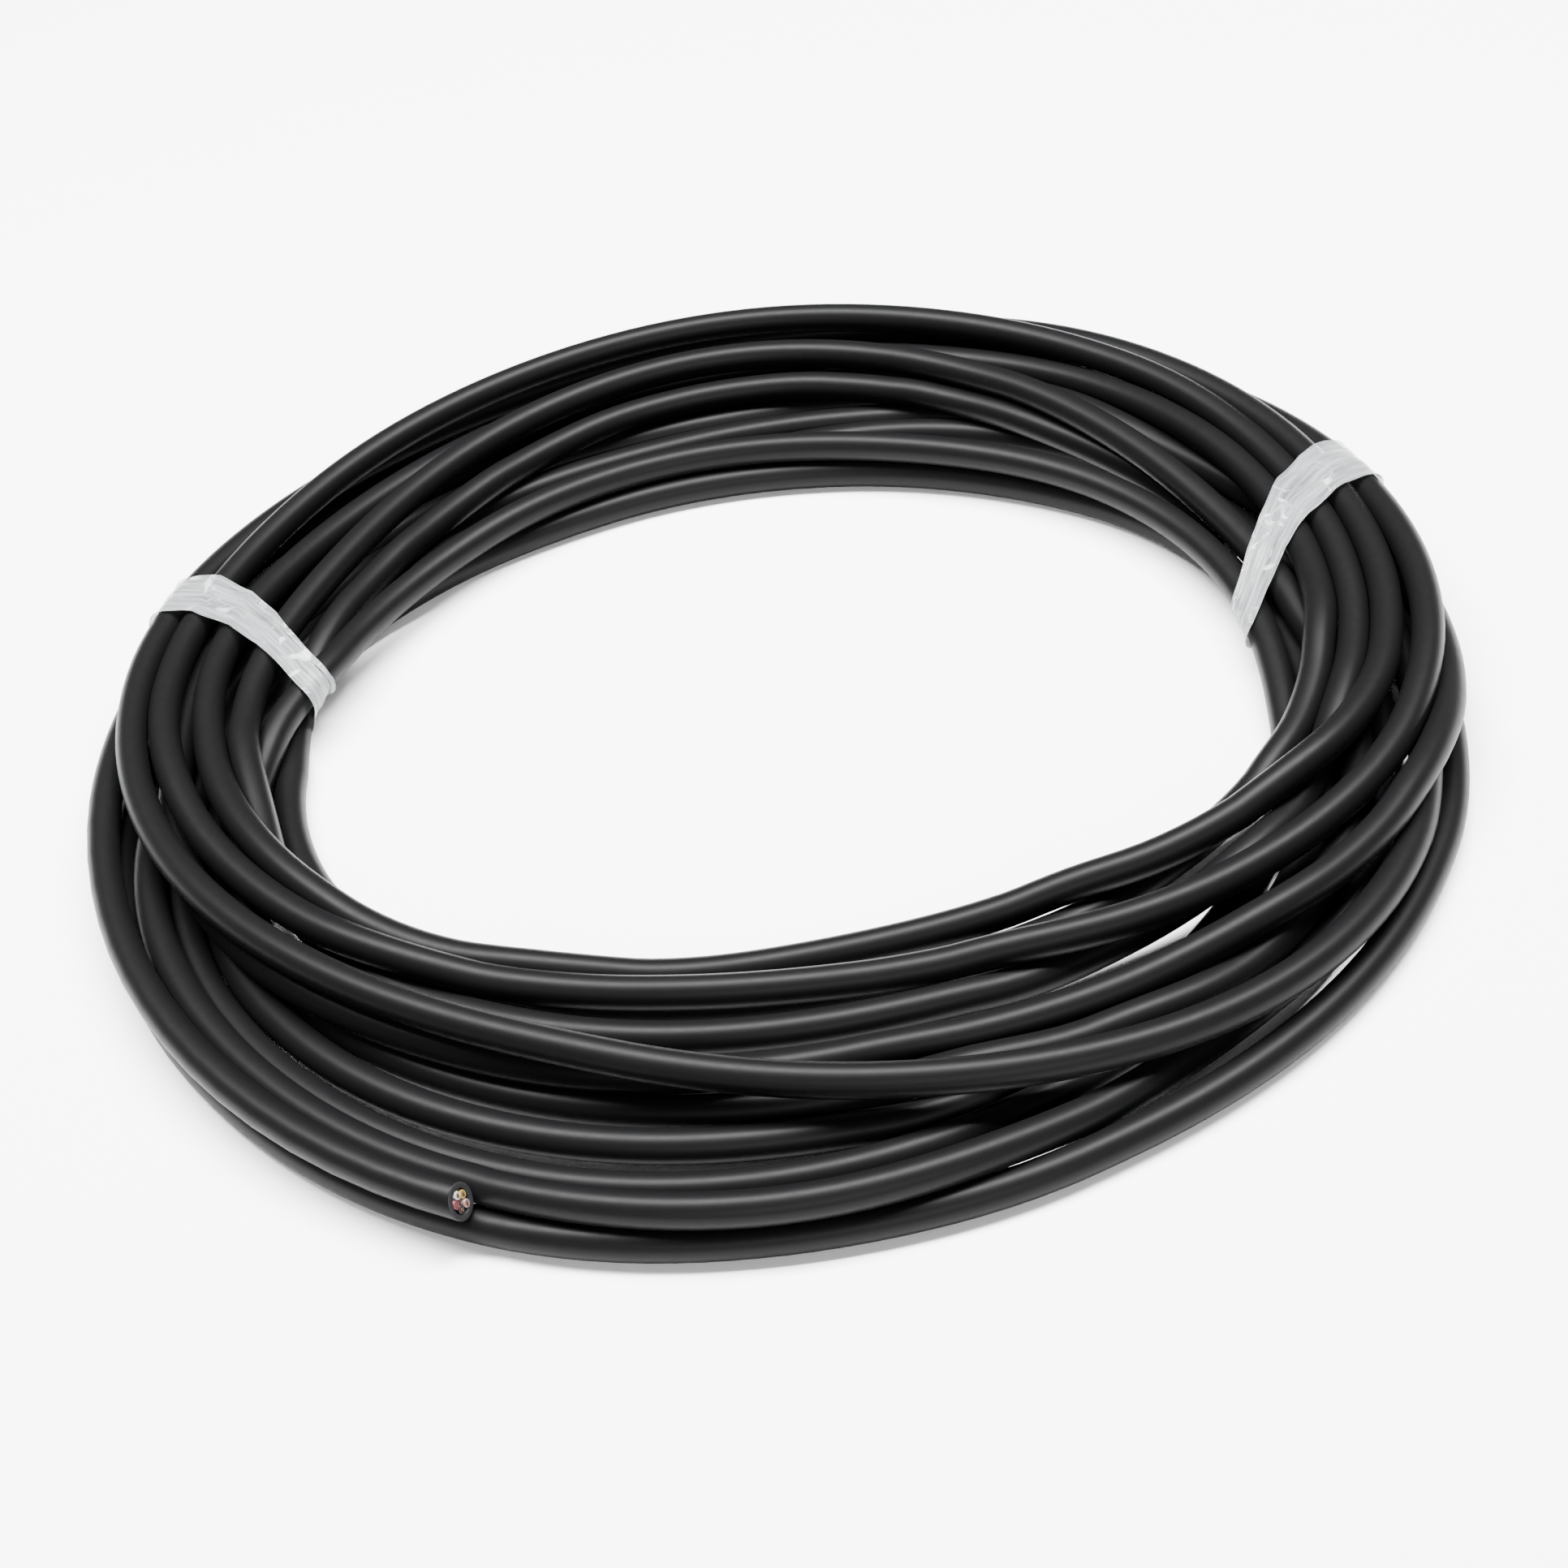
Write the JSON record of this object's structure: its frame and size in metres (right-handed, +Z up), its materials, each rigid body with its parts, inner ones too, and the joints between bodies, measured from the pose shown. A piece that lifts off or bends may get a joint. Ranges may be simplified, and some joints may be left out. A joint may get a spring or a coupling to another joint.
{
  "type": "cable coil",
  "caption": "Coil of round black sheathed multi-core cable, held by clear tape ties, with a bare cut end that shows its coloured cores.",
  "frame": {"origin": "on the floor under the middle of the coil", "axes": "+Z up out of the floor through the coil's bore, +Y towards the back, +X to the right as the coil is seen from the front"},
  "size_m": [0.168, 0.168, 0.0119],
  "materials": {
    "jacket": "satin black sheath",
    "tape": "clear, streaked and creased",
    "core_white": "plain",
    "core_yellow": "plain",
    "core_pink": "plain",
    "core_black": "plain",
    "core_red": "plain",
    "conductor": "cut copper strands"
  },
  "bodies": {
    "root": {"cable_coil": "jacket", "cable_free_end": "jacket", "core_white": "core_white", "core_yellow": "core_yellow", "core_pink": "core_pink", "core_black": "core_black", "core_red": "core_red", "conductor_white": "conductor", "conductor_yellow": "conductor", "conductor_pink": "conductor", "conductor_black": "conductor", "conductor_red": "conductor", "tie_left": "tape", "tie_right": "tape"}
  },
  "joints": []
}
